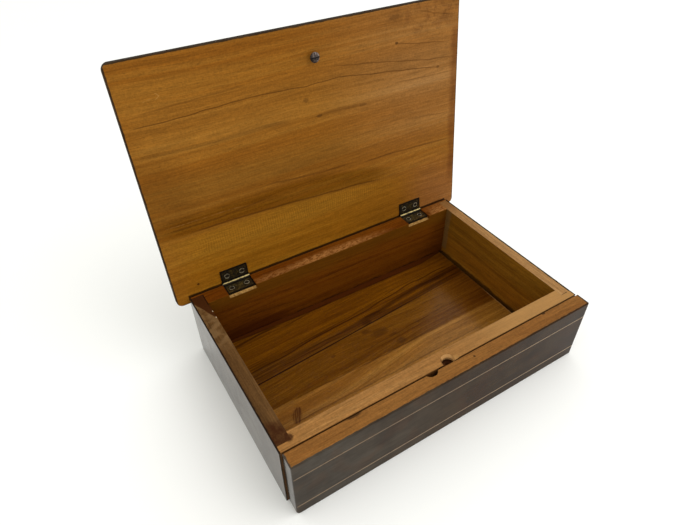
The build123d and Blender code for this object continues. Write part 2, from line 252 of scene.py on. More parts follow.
    def finish(self, colour, roughness, specular=0.5, metallic=0.0, coat=None):
        self.set(self.surface.inputs["Base Color"], colour)
        self.set(self.surface.inputs["Roughness"], roughness)
        self.set(self.surface.inputs["Metallic"], metallic)
        self.surface.inputs["Specular IOR Level"].default_value = specular
        if coat is not None:
            self.set(self.surface.inputs["Coat Weight"], coat)
            self.surface.inputs["Coat Roughness"].default_value = COAT_ROUGHNESS
        return self.material


def srgb(red, green, blue):
    """Linear colour of a screen colour given as 0 to 255."""
    return tuple(
        ((value / 255 + 0.055) / 1.055) ** 2.4 if value > 10 else value / 255 / 12.92
        for value in (red, green, blue)
    )


def wood_figure(s, along, across, depth, seed, warp=2.5, tilt=0.35):
    """Grain of one board: (tone, fibre, pore), each from 0 to 1."""
    bend = s.streak(along, across, depth, 110, 26, seed, detail=1.5)
    ring = s.add(across, s.swing(bend, warp), s.mul(depth, tilt))
    broad = s.streak(along, ring, 0.0, 150, 13, seed + 1, detail=2)
    lines = s.streak(along, ring, 0.0, 240, 1.7, seed + 2, detail=3, roughness=0.6)
    tone = s.step(s.add(s.mul(broad, 0.55), s.mul(lines, 0.45)), 0.3, 0.7)
    fine = s.streak(along, ring, depth, 9, 0.3, seed + 3, detail=2, roughness=0.6)
    coarse = s.streak(along, ring, depth, 13, 0.85, seed + 5, detail=3, roughness=0.65)
    fibre = s.add(s.mul(fine, 0.45), s.mul(coarse, 0.55))
    pore = s.step(s.streak(along, ring, depth, 2.6, 0.28, seed + 4, detail=1), 0.6, 0.72)
    return tone, fibre, pore


def wood_colour(s, figure, tones, fibre_strength=0.26, pore_strength=0.3):
    """Colour of a board from its figure. tones runs from its darkest to its lightest wood."""
    tone, fibre, pore = figure
    colour = s.ramp(tone, tones)
    speckle = s.noise(s.place, detail=3, roughness=0.7, scale=1.3)
    shade = s.step(fibre, 0.36, 0.64, 1 - fibre_strength, 1 + fibre_strength, smooth=False)
    shade = s.mul(shade, s.step(speckle, 0.3, 0.7, 0.84, 1.16, smooth=False))
    colour = s.shade(colour, shade)
    dark = tuple(channel * 0.2 for channel in tones[0])
    return s.mix(s.mul(pore, pore_strength), colour, dark)


def wood_height(s, figure):
    tone, fibre, pore = figure
    return s.sub(s.add(s.mul(fibre, 0.6), s.mul(tone, 0.25)), s.mul(pore, 0.5))


POLISH_TONES = (srgb(42, 29, 16), srgb(53, 39, 23), srgb(64, 49, 31))


def polish_colour(s, along, across, depth, seed):
    """Old dark stain and polish over the outside, browner in faint streaks along the grain."""
    broad = s.streak(along, across, depth, 60, 5.0, seed, detail=3, roughness=0.6)
    fine = s.streak(along, across, depth, 9, 0.45, seed + 1, detail=2)
    cloud = s.noise(s.place, detail=4, roughness=0.6, scale=0.09)
    tone = s.add(s.mul(broad, 0.35), s.mul(fine, 0.25), s.mul(cloud, 0.4))
    colour = s.ramp(s.step(tone, 0.34, 0.66), POLISH_TONES)
    brown = s.step(s.add(s.x, s.sway(40, 12)), -60, 90)
    colour = s.tint(brown, colour, srgb(218, 198, 166))
    warm = s.step(s.noise(s.place, detail=3, scale=0.11), 0.5, 0.64)
    return s.tint(s.mul(warm, 0.8), colour, (1.12, 0.92, 0.8))


def polish_roughness(s, outside, figure):
    """Roughness of a board: planed wood inside, worn gloss in uneven patches outside."""
    _, fibre, _ = figure
    patch = s.noise(s.place, detail=4, roughness=0.6, scale=0.14)
    gloss = s.step(patch, 0.35, 0.7, 0.09, 0.2)
    plain = s.step(fibre, 0.2, 0.8, 0.42, 0.56)
    return s.add(s.mul(outside, gloss), s.mul(s.sub(1.0, outside), plain))


def lid_place(s):
    """Lid coordinates: along X, up the open lid from the hinge axis, and out of its underside."""
    dy, dz = s.sub(s.y, AXIS_Y), s.sub(s.z, AXIS_Z)
    sine, cosine = math.sin(LID_LEAN), math.cos(LID_LEAN)
    up = s.add(s.mul(dy, sine), s.mul(dz, cosine))
    out = s.add(s.mul(dy, -cosine), s.mul(dz, sine))
    return s.x, up, out


def spots(s, places, first_seed):
    """Uneven spots seen from above, given as (middle, radii). They go right through the board."""
    return s.most(*(
        s.spot(s.x, s.y, middle, radii, seed=first_seed + index)
        for index, (middle, radii) in enumerate(places)
    ))


def grain_lines(s, along, across, lines, wander):
    """The strongest, at each place, of the lines given as (points, width, strength)."""
    drawn = 0.0
    for points, width, strength in lines:
        drawn = s.most(drawn, s.mul(s.line(along, across, points, width, wander), strength))
    return drawn


def use(material, *nodes):
    """Gives the material to the CAD nodes of these names."""
    for name in nodes:
        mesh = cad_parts[name].data
        mesh.materials.clear()
        mesh.materials.append(material)


# ---------------------------------------------------------------- boards

WOOD_SPECULAR = 0.035               # dry, planed wood
FACE_COAT, END_COAT = 0.05, 0.45     # shellac, worn thin on the front and fuller at the ends
DIRT_STAIN_AND_SHADE = srgb(24, 12, 6)               # dirt and old stain in joints and along edges, and painted shade at the feet of walls and in gaps between parts
STAIN = srgb(56, 28, 10)            # old stain on the corners of the carcass


def outside_depth(s):
    """Millimetres in from the nearest polished side of the carcass."""
    return s.least(s.sub(s.x, LEFT), s.sub(RIGHT, s.x), s.sub(BACK, s.y))


def facing_up(s):
    return s.step(s.nz, 0.4, 0.8)


def facing_ends(s, elsewhere, at_ends):
    """at_ends on faces that look to the left or right, elsewhere on the others."""
    return s.step(s.magnitude(s.nx), 0.3, 0.8, elsewhere, at_ends)


def shellac(s, outside):
    """Weight of the clear coat: only outside, and fuller on the ends than on the front and back."""
    weight = facing_ends(s, FACE_COAT, END_COAT)
    patch = s.step(s.noise(s.place, detail=3, roughness=0.6, scale=0.09), 0.3, 0.65, 0.8, 1.05)
    return s.mul(outside, weight, patch)


def board_bump(s, figure, outside):
    """Relief of the grain, nearly filled by the polish outside."""
    s.bump(s.mul(wood_height(s, figure), s.step(outside, 0, 1, 1.0, 0.15)), GRAIN_RELIEF)


def finish_board(s, colour, figure, outside):
    """Ends the material of a board that is planed inside and polished outside."""
    board_bump(s, figure, outside)
    roughness = polish_roughness(s, outside, figure)
    return s.finish(colour, roughness, specular=WOOD_SPECULAR, coat=shellac(s, outside))


def carcass_board(name, axes, tones, seed, marks, rim=0.5):
    """Wall of the carcass. axes names the axes along, across and through the grain, and rim is
    how far the outer polish comes round the edge of its top, in millimetres."""
    s = Shader(name)
    along, across, depth = (getattr(s, axis) for axis in axes)
    figure = wood_figure(s, along, across, depth, seed, tilt=0.8)
    colour = marks(s, wood_colour(s, figure, tones))
    edge = s.add(outside_depth(s), s.sway(2.2, 0.16))
    outside = s.fall(edge, rim, rim + 0.2)
    colour = s.mix(outside, colour, polish_colour(s, along, across, depth, seed + 9))
    top = s.mul(outside, facing_up(s))
    colour = s.mix(s.mul(top, 0.85), colour, DIRT_STAIN_AND_SHADE)
    return finish_board(s, colour, figure, s.sub(outside, top))


def inner_shade(s, colour, tone, foot_depth=6.0):
    """Inner side of a wall darkened by a tint, with painted shade deepening towards the foot. The
    planed top is left as it is.
    """
    inside = s.fall(s.add(s.z, s.sway(3.0, 0.15)), TOP - 0.35, TOP - 0.1)
    colour = s.tint(inside, colour, tone)
    # Painted shade, darkest at the foot of the wall where it meets the floor.
    foot_shade = s.step(s.add(s.z, s.sway(7.0, 0.8)), FLOOR_TOP, FLOOR_TOP + foot_depth, 0.7, 0.0)
    return s.mix(s.mul(inside, foot_shade), colour, DIRT_STAIN_AND_SHADE)


FRONT_TONES = (srgb(131, 89, 45), srgb(146, 103, 56), srgb(155, 114, 66))
BACK_TONES = (srgb(81, 38, 3), srgb(95, 48, 5), srgb(110, 60, 9))
LEFT_TONES = (srgb(71, 46, 22), srgb(82, 56, 29), srgb(97, 68, 37))
RIGHT_TONES = (srgb(143, 104, 61), srgb(160, 122, 78), srgb(172, 134, 89))


def front_marks(s, colour):
    """Top of the front wall: pale, stained at the left corner, with painted shade in the hollow and
    in the gap behind the sliding front.
    """
    paler = s.step(s.add(s.x, s.sway(12, 5)), -6, 50)
    colour = s.mix(s.mul(paler, 0.5), colour, srgb(178, 137, 84))
    corner = s.spot(s.x, s.y, (-67.4, -41.0), (1.5, 1.6), seed=4.0)
    colour = s.mix(s.mul(corner, 0.85), colour, STAIN)
    inside = s.step(s.y, INNER_FRONT - 0.2, INNER_FRONT - 0.05)
    colour = s.mix(inside, colour, inner_shade(s, colour, srgb(170, 140, 110)))
    # The hollow for the catch: fresh wood round its mouth, with painted shade low down and on its
    # lower left side
    across, level = s.sub(s.x, CATCH_X), s.sub(s.y, CATCH_Y)
    radius = s.length(across, level)
    below = s.mul(s.fall(s.z, TOP - 0.12, TOP - 0.02), s.fall(radius, 5.5, 6.5))
    colour = s.mix(s.mul(below, 0.9), colour, srgb(186, 140, 88))
    low = s.fall(s.add(s.z, s.sway(1.6, 0.2)), TOP - 2.6, TOP - 1.7)
    colour = s.mix(s.mul(below, low), colour, srgb(52, 26, 10))
    # Painted shade on the lower left side of the hollow.
    slanted = s.add(s.mul(level, 0.7), s.mul(across, 0.7), s.sway(1.5, 0.2))
    marked_area = s.step(slanted, -0.4, 1.0, 0.8, 0.0)
    beside = s.step(across, 2.2, 3.0, 1.0, 0.25)
    colour = s.mix(s.mul(marked_area, below, beside), colour, srgb(78, 44, 18))
    dip = s.mul(below, s.step(across, 2.2, 3.0, 0.0, 0.6))
    colour = s.mix(dip, colour, srgb(134, 94, 44))
    # The face behind the sliding front, darkened: painted shade in the gap between the wall and the
    # sliding front
    gap_shade = s.step(s.y, FRONT + 0.01, FRONT + 0.1, 0.85, 0.0)
    gap_shade = s.mul(gap_shade, s.step(s.z, TOP - 0.5, TOP - 0.3, 1.0, 0.6))
    return s.mix(gap_shade, colour, srgb(70, 40, 18))


def back_marks(s, colour):
    """Back wall: reddish brown, with painted sheen along the worn front edge of its top, lighter in
    the mortises.
    """
    top = facing_up(s)
    # Painted sheen along the worn front edge of the top.
    rub_and_sheen = s.noise(s.vector(s.mul(s.x, 0.5), s.y, 0.0), detail=4, roughness=0.75, scale=0.9)
    marked_area = s.most(
        s.spot(s.x, s.y, (-4, 38.2), (26, 2.6), 0.3, seed=11.0, soft=0.6),
        s.mul(s.spot(s.x, s.y, (-28, 38.0), (20, 2.4), 0.3, seed=12.0, soft=0.6), 0.6),
        s.mul(s.ends(s.x, 54, 80, 8), s.step(s.add(s.y, s.sway(9, 1.0)), 37.0, 44.0, 1.0, 0.3)),
    )
    marked_area = s.mul(top, marked_area, s.step(rub_and_sheen, 0.36, 0.62, 0.1, 0.9))
    colour = s.mix(marked_area, colour, srgb(164, 112, 60))
    mortises = s.most(*(
        s.band(s.x, s.y, ((first, 30), (last, 30)), ((first, 38), (last, 38)), 0.1, 0.2)
        for first, last in ((-57.2, -43.9), (42.4, 55.4))
    ))
    mortises = s.mul(mortises, s.step(s.add(s.z, s.sway(1.6, 0.12)), 31.3, 31.6))
    inside = s.fall(s.y, INNER_BACK + 0.1, INNER_BACK + 0.3)
    shaded = inner_shade(s, colour, srgb(255, 255, 255), 0.8)
    lower = s.spot(s.x, s.z, (-54.0, 7.5), (26.0, 5.0), 0.25, seed=6.0)
    shaded = s.mix(s.mul(lower, 0.6, inside), shaded, srgb(54, 16, 4))
    middle = s.ends(s.x, -44, 64, 16)
    middle = s.mul(middle, s.fall(s.add(s.z, s.sway(9, 1.5)), 16, 22), inside)
    shaded = s.tint(middle, shaded, (1.16, 1.24, 1.1))
    upper = s.step(s.add(s.z, s.sway(12, 1.5)), 24.0, 30.0)
    shaded = s.mix(s.mul(upper, 0.45, inside), shaded, srgb(100, 66, 12))
    lines = (
        s.line(s.x, s.z, ((-65, 25.5), (-45, 24.2), (-22, 22.5)), 0.8),
        s.line(s.x, s.z, ((-58, 17.5), (-40, 15.5), (-18, 12.0)), 0.6),
        s.line(s.x, s.z, ((-20, 20.0), (-5, 21.5), (30, 21.0)), 0.7),
    )
    shaded = s.mix(s.mul(s.most(*lines), 0.26, inside), shaded, DIRT_STAIN_AND_SHADE)
    rough = s.step(s.noise(s.place, detail=4, roughness=0.75, scale=1.1), 0.36, 0.58, 0.2, 1.0)
    shaded = s.mix(mortises, shaded, s.mix(rough, srgb(84, 52, 18), srgb(158, 120, 66)))
    # Painted shade in the gap under the open lid, along the rear edge of the top.
    seam = s.step(s.add(s.y, s.sway(5.0, 0.1)), BACK - 0.6, BACK - 0.4)
    return s.mix(s.mul(seam, 0.85), shaded, DIRT_STAIN_AND_SHADE)


def left_marks(s, colour):
    """Left wall: stained dark at both ends of its top, with two pale chips, and a painted contact
    shadow along the foot of its outer face.
    """
    rear_line = s.path(s.x, ((-72.8, 40.0), (-67.3, 26.5)))
    rear = s.step(s.add(s.sub(s.y, rear_line), s.sway(4.0, 0.7)), -0.6, 0.6)
    front = s.fall(s.add(s.y, s.sway(5.0, 1.4)), -34.5, -31.0)
    bump = s.spot(s.x, s.y, (-68.4, -30.4), (1.6, 2.4), seed=5.0)
    patchy = s.step(s.noise(s.place, detail=4, roughness=0.7, scale=0.45), 0.35, 0.62, 0.55, 0.97)
    colour = s.mix(s.mul(front, s.step(bump, 0, 1, 1.0, 0.1), patchy), colour, STAIN)
    colour = s.mix(s.mul(rear, 0.9), colour, srgb(58, 27, 8))
    bleached = s.mul(
        s.step(s.add(s.y, s.sway(9.0, 2.0)), 4, 16),
        s.step(s.noise(s.place, detail=4, scale=0.3), 0.35, 0.6),
    )
    colour = s.mix(s.mul(bleached, s.sub(1.0, rear), 0.35), colour, srgb(140, 110, 74))
    # Painted contact shadow along the foot of the outer face.
    foot_shade = s.mul(s.fall(s.add(s.z, s.sway(5.0, 0.5)), 0.3, 1.0), s.fall(s.nx, -0.8, -0.4))
    chips = spots(s, (((-67.2, 31.1), (0.3, 0.4)), ((-67.2, 26.9), (0.3, 0.4))), 8.0)
    upper = s.step(s.z, TOP - 0.8, TOP - 0.4)
    colour = s.mix(s.mul(chips, upper, 0.8), colour, srgb(190, 170, 140))
    colour = s.mix(s.mul(foot_shade, 0.8), colour, DIRT_STAIN_AND_SHADE)
    joint = s.band(
        s.y, s.x, ((35.5, -67.6), (43.4, -67.5)), ((35.5, -67.0), (43.4, -66.8)), 0.1, 0.6
    )
    colour = s.mix(s.mul(joint, 0.9), colour, DIRT_STAIN_AND_SHADE)
    return inner_shade(s, colour, srgb(170, 150, 130))


def right_marks(s, colour):
    """Right wall: pale top, olive brown inner side with dark lines along it, and a painted
    reflection by the back corner.
    """
    rear = s.step(s.add(s.y, s.sway(6.0, 2.0)), 29.0, 38.0)
    colour = s.mix(s.mul(rear, 0.6), colour, srgb(104, 66, 28))
    shaded = inner_shade(s, colour, srgb(214, 192, 98), 1.0)
    inside = s.fall(s.z, TOP - 0.35, TOP - 0.1)
    lower = s.fall(s.add(s.z, s.sway(8, 1.5)), 15, 22)
    shaded = s.tint(lower, shaded, (1.32, 1.22, 1.1))
    lines = (
        s.line(s.y, s.z, ((-28, 18.0), (0, 18.6), (34, 18.8)), 1.3),
        s.line(s.y, s.z, ((-30, 24.0), (-16, 24.2)), 1.6),
        s.line(s.y, s.z, ((-20, 27.6), (10, 27.2), (34, 28.0)), 0.8),
    )
    shaded = s.mix(s.mul(s.most(*lines), 0.22, inside), shaded, srgb(52, 24, 3))
    # Painted reflection: a lighter, greyer strip up the inner side by the back corner.
    corner = s.mul(s.step(s.add(s.y, s.sway(5, 0.5)), 32.4, 33.6), s.step(s.z, 7.0, 9.0), inside)
    shaded = s.mix(s.mul(corner, 0.45), shaded, srgb(112, 92, 60))
    joint = s.band(
        s.x, s.y, ((67.3, -42.2), (71.6, -42.0)), ((67.3, -41.8), (71.6, -41.6)), 0.12, 0.8
    )
    return s.mix(s.mul(joint, 0.8, s.step(s.z, TOP - 0.3, TOP - 0.1)), shaded, DIRT_STAIN_AND_SHADE)


use(carcass_board("front_wall_wood", "xzy", FRONT_TONES, 1.0, front_marks), "front_wall")
use(carcass_board("back_wall_wood", "xzy", BACK_TONES, 2.0, back_marks), "back_wall")
use(carcass_board("left_wall_wood", "yzx", LEFT_TONES, 3.0, left_marks), "left_wall")
use(carcass_board("right_wall_wood", "yzx", RIGHT_TONES, 4.0, right_marks, rim=0.85), "right_wall")

FLOOR_FRONT_TONES = (srgb(87, 48, 5), srgb(103, 63, 12), srgb(118, 76, 18))
FLOOR_REAR_TONES = (srgb(81, 41, 4), srgb(100, 57, 5), srgb(116, 69, 6))

# Dark grain lines of the floor boards: points (x, y), width and strength
REAR_LINES = (
    (((-66, 13.2), (-41, 15.0), (-21, 17.4), (4, 19.0), (17, 21.0), (34, 23.5), (66, 24.8)),
     0.55, 0.75),
    (((-6, 14.0), (10, 15.3), (20, 16.8), (30, 18.2), (40, 19.4), (58, 19.8)), 1.9, 0.62),
    (((-66, 10.8), (-30, 12.6), (0, 13.2), (16, 14.2)), 0.5, 0.55),
    (((-66, 9.2), (-36, 10.2), (-10, 11.4)), 0.45, 0.5),
    (((-60, 16.2), (-30, 17.6), (-8, 19.4), (14, 22.4), (30, 25.4)), 0.5, 0.4),
    (((-66, 30.8), (-52, 32.6), (-34, 34.0)), 0.9, 0.7),
    (((-40, 30.4), (-22, 33.0), (-4, 34.4)), 0.6, 0.45),
)
FRONT_LINES = (
    (((-45, -9.0), (-10, -9.4), (24, -8.6)), 0.5, 0.45),
    (((-14, -2.6), (6, -1.8), (34, 0.4)), 0.4, 0.5),
    (((-8, -4.4), (12, -3.6), (30, -1.6)), 0.35, 0.4),
    (((30, 2.2), (44, 3.0)), 0.4, 0.5),
    (((28, 0.2), (42, 1.0)), 0.4, 0.45),
    (((-60, -19.6), (0, -19.8), (50, -19.4)), 0.5, 0.35),
)


def floor_wood(name, tones, seed, lines, marks):
    """Floor board: its own marks, then the grain lines, the joint, painted shade along the walls
    and a painted highlight at the boards' right end.
    """
    s = Shader(name)
    slanted = s.sub(s.y, s.mul(s.x, 0.05))
    figure = wood_figure(s, s.x, slanted, s.z, seed, warp=3.0)
    colour = marks(s, wood_colour(s, figure, tones), slanted)
    colour = s.mix(grain_lines(s, s.x, s.y, lines, 0.4), colour, srgb(44, 18, 2))
    seam = s.magnitude(s.sub(s.y, s.path(s.x, SEAM)))
    joint = s.mul(s.fall(seam, 0.15, 0.5), s.step(s.x, 10, 50, 0.95, 0.25))
    colour = s.mix(joint, colour, DIRT_STAIN_AND_SHADE)
    # Painted shade on the floor near the walls.
    wall = s.least(s.sub(s.x, INNER_LEFT), s.sub(s.y, INNER_FRONT), s.sub(INNER_RIGHT + 2, s.x))
    colour = s.mix(s.step(wall, 0.3, 3.0, 0.6, 0.0), colour, srgb(46, 22, 6))
    # Painted highlight along the right end of the boards.
    end_highlight = s.step(s.x, FLOOR_END - 0.55, FLOOR_END - 0.3)
    colour = s.mix(s.mul(end_highlight, s.step(s.y, -4, 2, 0.6, 0.08)), colour, srgb(150, 110, 70))
    s.bump(wood_height(s, figure), GRAIN_RELIEF)
    _, fibre, _ = figure
    return s.finish(colour, s.step(fibre, 0.25, 0.75, 0.14, 0.24), specular=0.14)


def rear_floor_marks(s, colour, slanted):
    """The board by the back wall: golden, with a dark streaked belt along the joint."""
    belt = s.fall(s.sub(s.y, s.path(s.x, ((-66, 14.0), (0, 15.0), (20, 15.5)))), -1.5, 1.0)
    fade = s.step(s.x, -4, 24, 1.0, 0.35)
    colour = s.tint(s.mul(belt, fade), colour, (0.84, 0.92, 2.4))
    turned = s.sub(slanted, s.mul(s.x, 0.02))
    threads = s.streak(s.x, turned, 0.0, 70, 0.9, 61.0, detail=3, roughness=0.6)
    threads = s.step(threads, 0.47, 0.56)
    behind = s.sub(s.y, s.path(s.x, ((-66, 18.0), (0, 20.0), (40, 27.0))))
    zone = s.step(behind, -3.0, 3.0, 1.0, 0.15)
    colour = s.mix(s.mul(threads, zone, 0.5), colour, srgb(46, 20, 3))
    right = s.mul(s.step(s.x, 26, 60), s.fall(s.y, 21.5, 24.5))
    colour = s.tint(right, colour, (0.47, 0.4, 0.55))
    knots = spots(s, (((0.5, 12.0), (2.6, 1.5)), ((6.0, 15.4), (5.0, 0.8))), 2.0)
    colour = s.mix(s.mul(knots, 0.6), colour, srgb(40, 16, 4))
    # Old stain that has run onto the board from the foot of the back wall
    edge = s.path(s.x, ((-66, 35.2), (-40, 34.2), (-20, 33.6), (50, 33.4), (66, 36.0)))
    run = s.step(s.add(s.sub(s.y, edge), s.sway(6.0, 0.25)), -0.25, 0.35)
    colour = s.mix(s.mul(run, 0.92), colour, srgb(66, 28, 6))
    rim = s.fall(s.magnitude(s.sub(s.y, edge)), 0.2, 0.6)
    return s.mix(s.mul(rim, 0.6), colour, srgb(36, 12, 3))


def front_floor_marks(s, colour, _slanted):
    """The board by the front wall: lighter in front, darker to the right, one small knot."""
    near = s.fall(s.add(s.y, s.sway(10.0, 0.5)), -9.6, -8.6)
    colour = s.tint(near, colour, (2.05, 2.45, 5.4))
    right = s.mul(s.step(s.add(s.x, s.sway(9, 3.0)), 38, 58), s.step(s.y, -14, -6))
    colour = s.tint(right, colour, (0.74, 0.64, 0.6))
    olive = s.mul(s.step(s.x, 36, 50), near)
    colour = s.tint(s.mul(olive, 0.7), colour, (0.74, 0.69, 0.5))
    blotches = spots(s, (
        ((2.0, 3.2), (4.4, 2.2)),
        ((8.0, -6.4), (2.6, 1.6)),
        ((7.0, -1.0), (2.4, 0.7)),
        ((-3.6, 7.2), (2.0, 1.2)),
        ((-24.4, 2.4), (1.2, 0.7)),
    ), 3.0)
    colour = s.mix(s.mul(blotches, 0.5), colour, srgb(56, 28, 6))
    knot_x, knot_y, knot_lean = -53.4, -17.0, -0.45
    turned = s.add(s.x, s.mul(s.y, knot_lean))
    middle = (knot_x + knot_y * knot_lean, knot_y)
    knot = s.spot(turned, s.y, middle, (2.2, 3.8), 0.12, seed=8.0, soft=0.15)
    rays = s.step(s.streak(s.y, turned, 0.0, 5, 0.7, 71.0, detail=2), 0.4, 0.6, 0.35, 0.85)
    return s.mix(s.mul(knot, rays), colour, srgb(72, 34, 4))


for side, tones, seed, lines, marks in (
    ("front", FLOOR_FRONT_TONES, 5.0, FRONT_LINES, front_floor_marks),
    ("rear", FLOOR_REAR_TONES, 6.0, REAR_LINES, rear_floor_marks),
):
    use(floor_wood(f"floor_{side}_wood", tones, seed, lines, marks), f"floor_board_{side}")

PANEL_TONES = (srgb(108, 67, 29), srgb(122, 79, 36), srgb(134, 91, 44))


def panel_wood():
    """Sliding front: planed top with dirty spots, polished face with a painted reflection that
    makes it greyer to the left.
    """
    s = Shader("panel_wood")
    figure = wood_figure(s, s.x, s.z, s.y, 7.0, tilt=0.8)
    colour = wood_colour(s, figure, PANEL_TONES)
    dirty = spots(s, (
        ((-43.6, -45.6), (3.0, 0.55)),
        ((52.4, -45.6), (1.0, 0.45)),
        ((11.6, -47.6), (0.5, 0.5)),
    ), 1.0)
    colour = s.mix(s.mul(dirty, 0.75), colour, DIRT_STAIN_AND_SHADE)
    edge = s.least(s.sub(s.y, PANEL_FACE), s.sub(s.x, PANEL_LEFT), s.sub(PANEL_RIGHT, s.x))
    outside = s.fall(s.add(edge, s.sway(2.2, 0.16)), 0.5, 0.68)
    # Painted reflection: the polish greyer and lighter to the left.
    grey = s.fall(s.add(s.x, s.sway(30, 8)), -60, 12)
    polish = s.tint(grey, polish_colour(s, s.x, s.z, s.y, 8.0), (1.2, 1.64, 2.8))
    return finish_board(s, s.mix(outside, colour, polish), figure, outside)


use(panel_wood(), "front_panel")

LID_TONES = (srgb(119, 71, 16), srgb(132, 82, 22), srgb(141, 93, 30))

# Dark grain lines of the lid's underside: points (along, up), width and strength
LID_LINES = (
    (((-79, 77.8), (-51, 78.1), (-35, 78.9), (-19, 78.7), (-3, 78.1), (13, 78.3), (21, 77.3),
      (30, 76.2), (40, 75.3), (60, 72.9), (68, 71.6)), 0.34, 0.62),
    (((8, 83.8), (18, 82.2), (27, 81.3), (38, 79.8), (49, 78.1), (60, 76.4), (78, 75.0)),
     0.34, 0.5),
    (((40, 86.8), (49, 85.3), (60, 83.9), (74, 82.0)), 0.32, 0.5),
    (((-76, 81.8), (-50, 83.4), (-28, 84.2)), 0.5, 0.3),
    (((20, 36.9), (42, 36.4), (60, 35.6), (78, 34.8)), 0.5, 0.5),
    (((52, 98.6), (64, 95.6), (78, 93.2)), 0.4, 0.4),
    (((-2, 64.6), (8, 64.9), (27, 64.2)), 0.9, 0.42),
    (((-78, 66.4), (-40, 65.6), (-10, 65.8)), 1.2, 0.3),
    (((-66, 30.6), (-30, 29.4), (20, 26.2), (34, 25.0)), 0.6, 0.55),
    (((-76, 33.4), (-50, 33.0), (-24, 35.0)), 0.6, 0.4),
    (((-30, 41.0), (-4, 38.8), (18, 38.2)), 0.7, 0.45),
    (((40, 69.6), (58, 69.0), (76, 68.4)), 0.4, 0.3),
    (((44, 51.0), (60, 50.0), (77, 48.6)), 0.5, 0.3),
)

# Dark specks of the lid's underside: middle, radii, strength and unevenness
LID_SPECKS = (
    ((-67.4, 4.9), (0.55, 0.55), 1.0, 0.25),
    ((43.2, 86.6), (0.9, 0.55), 0.8, 0.25),
    ((24.0, 63.9), (2.0, 0.55), 0.5, 0.25),
    ((1.6, 64.3), (1.5, 0.6), 0.6, 0.25),
    ((66.6, 72.0), (0.9, 0.6), 0.6, 0.25),
    ((43.0, 97.0), (3.4, 1.0), 0.35, 0.6),
    ((-4.0, 72.3), (1.3, 1.0), 0.4, 0.9),
)

RIPPLE_LENGTH = 1.15                # of the marks of the plane, along the lid


